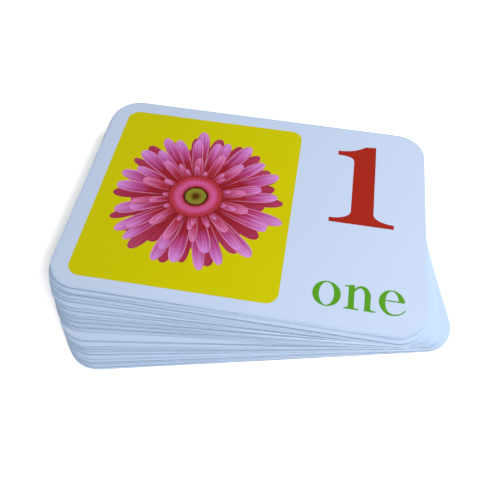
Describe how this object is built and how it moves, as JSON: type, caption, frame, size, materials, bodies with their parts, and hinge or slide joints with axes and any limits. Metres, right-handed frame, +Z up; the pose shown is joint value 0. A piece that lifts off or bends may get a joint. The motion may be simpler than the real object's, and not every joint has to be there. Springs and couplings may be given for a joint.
{
  "type": "flash card deck",
  "caption": "Stack of loose laminated number flash cards with rounded corners, partly fanned; the top card deals off and the others square up or fan open.",
  "frame": {"origin": "middle of the bottom card's underside", "axes": "+Z up out of the deck, +X along the top card's long edge, -Y towards the reader"},
  "size_m": [0.1544, 0.127, 0.0099],
  "materials": {
    "laminated_board": "white board under clear satin film, printed in colour on the face"
  },
  "bodies": {
    "card_01": {"card_01": "laminated_board"},
    "card_02": {"card_02": "laminated_board"},
    "card_03": {"card_03": "laminated_board"},
    "card_04": {"card_04": "laminated_board"},
    "card_05": {"card_05": "laminated_board"},
    "card_06": {"card_06": "laminated_board"},
    "card_07": {"card_07": "laminated_board"},
    "card_08": {"card_08": "laminated_board"},
    "card_09": {"card_09": "laminated_board"},
    "card_10": {"card_10": "laminated_board"},
    "card_11": {"card_11": "laminated_board"},
    "card_12": {"card_12": "laminated_board"},
    "card_13": {"card_13": "laminated_board"},
    "card_14": {"card_14": "laminated_board"},
    "card_15": {"card_15": "laminated_board"},
    "card_16": {"card_16": "laminated_board"},
    "card_17": {"card_17": "laminated_board"},
    "card_18": {"card_18": "laminated_board"},
    "card_19": {"card_19": "laminated_board"},
    "card_20": {"card_20": "laminated_board"},
    "card_21": {"card_21": "laminated_board"},
    "card_22": {"card_22": "laminated_board"},
    "card_23": {"card_23": "laminated_board"},
    "card_24": {"card_24": "laminated_board"}
  },
  "joints": [
    {"name": "card_01_deal", "type": "slide", "parent": "card_24", "child": "card_01", "axis": [0, -1, 0], "range_m": [-0.115, 0.115]},
    {"name": "card_02_fan", "type": "hinge", "parent": "card_24", "child": "card_02", "pos_m": [0.05072, 0.02215, 0], "axis": [0, 0, -1], "range_deg": [-11.92, 131.08]},
    {"name": "card_03_fan", "type": "hinge", "parent": "card_24", "child": "card_03", "pos_m": [0.05072, 0.02215, 0], "axis": [0, 0, -1], "range_deg": [-13.02, 123.48]},
    {"name": "card_04_fan", "type": "hinge", "parent": "card_24", "child": "card_04", "pos_m": [0.05072, 0.02215, 0], "axis": [0, 0, -1], "range_deg": [-12.42, 117.58]},
    {"name": "card_05_fan", "type": "hinge", "parent": "card_24", "child": "card_05", "pos_m": [0.05072, 0.02215, 0], "axis": [0, 0, -1], "range_deg": [-12.04, 111.46]},
    {"name": "card_06_fan", "type": "hinge", "parent": "card_24", "child": "card_06", "pos_m": [0.05072, 0.02215, 0], "axis": [0, 0, -1], "range_deg": [-10.72, 106.28]},
    {"name": "card_07_fan", "type": "hinge", "parent": "card_24", "child": "card_07", "pos_m": [0.05072, 0.02215, 0], "axis": [0, 0, -1], "range_deg": [-10.34, 100.16]},
    {"name": "card_08_fan", "type": "hinge", "parent": "card_24", "child": "card_08", "pos_m": [0.05072, 0.02215, 0], "axis": [0, 0, -1], "range_deg": [-9.02, 94.98]},
    {"name": "card_09_fan", "type": "hinge", "parent": "card_24", "child": "card_09", "pos_m": [0.05072, 0.02215, 0], "axis": [0, 0, -1], "range_deg": [-8.64, 88.86]},
    {"name": "card_10_fan", "type": "hinge", "parent": "card_24", "child": "card_10", "pos_m": [0.05072, 0.02215, 0], "axis": [0, 0, -1], "range_deg": [-8.26, 82.74]},
    {"name": "card_11_fan", "type": "hinge", "parent": "card_24", "child": "card_11", "pos_m": [0.05072, 0.02215, 0], "axis": [0, 0, -1], "range_deg": [-7.88, 76.62]},
    {"name": "card_12_fan", "type": "hinge", "parent": "card_24", "child": "card_12", "pos_m": [0.05072, 0.02215, 0], "axis": [0, 0, -1], "range_deg": [-7.5, 70.5]},
    {"name": "card_13_fan", "type": "hinge", "parent": "card_24", "child": "card_13", "pos_m": [0.05072, 0.02215, 0], "axis": [0, 0, -1], "range_deg": [-7.12, 64.38]},
    {"name": "card_14_fan", "type": "hinge", "parent": "card_24", "child": "card_14", "pos_m": [0.05072, 0.02215, 0], "axis": [0, 0, -1], "range_deg": [-6.74, 58.26]},
    {"name": "card_15_fan", "type": "hinge", "parent": "card_24", "child": "card_15", "pos_m": [0.05072, 0.02215, 0], "axis": [0, 0, -1], "range_deg": [-4.72, 53.78]},
    {"name": "card_16_fan", "type": "hinge", "parent": "card_24", "child": "card_16", "pos_m": [0.05072, 0.02215, 0], "axis": [0, 0, -1], "range_deg": [-3.52, 48.48]},
    {"name": "card_17_fan", "type": "hinge", "parent": "card_24", "child": "card_17", "pos_m": [0.05072, 0.02215, 0], "axis": [0, 0, -1], "range_deg": [-3.14, 42.36]},
    {"name": "card_18_fan", "type": "hinge", "parent": "card_24", "child": "card_18", "pos_m": [0.05072, 0.02215, 0], "axis": [0, 0, -1], "range_deg": [-2.76, 36.24]},
    {"name": "card_19_fan", "type": "hinge", "parent": "card_24", "child": "card_19", "pos_m": [0.05072, 0.02215, 0], "axis": [0, 0, -1], "range_deg": [-2.38, 30.12]},
    {"name": "card_20_fan", "type": "hinge", "parent": "card_24", "child": "card_20", "pos_m": [0.05072, 0.02215, 0], "axis": [0, 0, -1], "range_deg": [-1.52, 24.48]},
    {"name": "card_21_fan", "type": "hinge", "parent": "card_24", "child": "card_21", "pos_m": [0.05072, 0.02215, 0], "axis": [0, 0, -1], "range_deg": [-1.14, 18.36]},
    {"name": "card_22_fan", "type": "hinge", "parent": "card_24", "child": "card_22", "pos_m": [0.05072, 0.02215, 0], "axis": [0, 0, -1], "range_deg": [-0.76, 12.24]},
    {"name": "card_23_fan", "type": "hinge", "parent": "card_24", "child": "card_23", "pos_m": [0.05072, 0.02215, 0], "axis": [0, 0, -1], "range_deg": [-0.38, 6.12]}
  ]
}
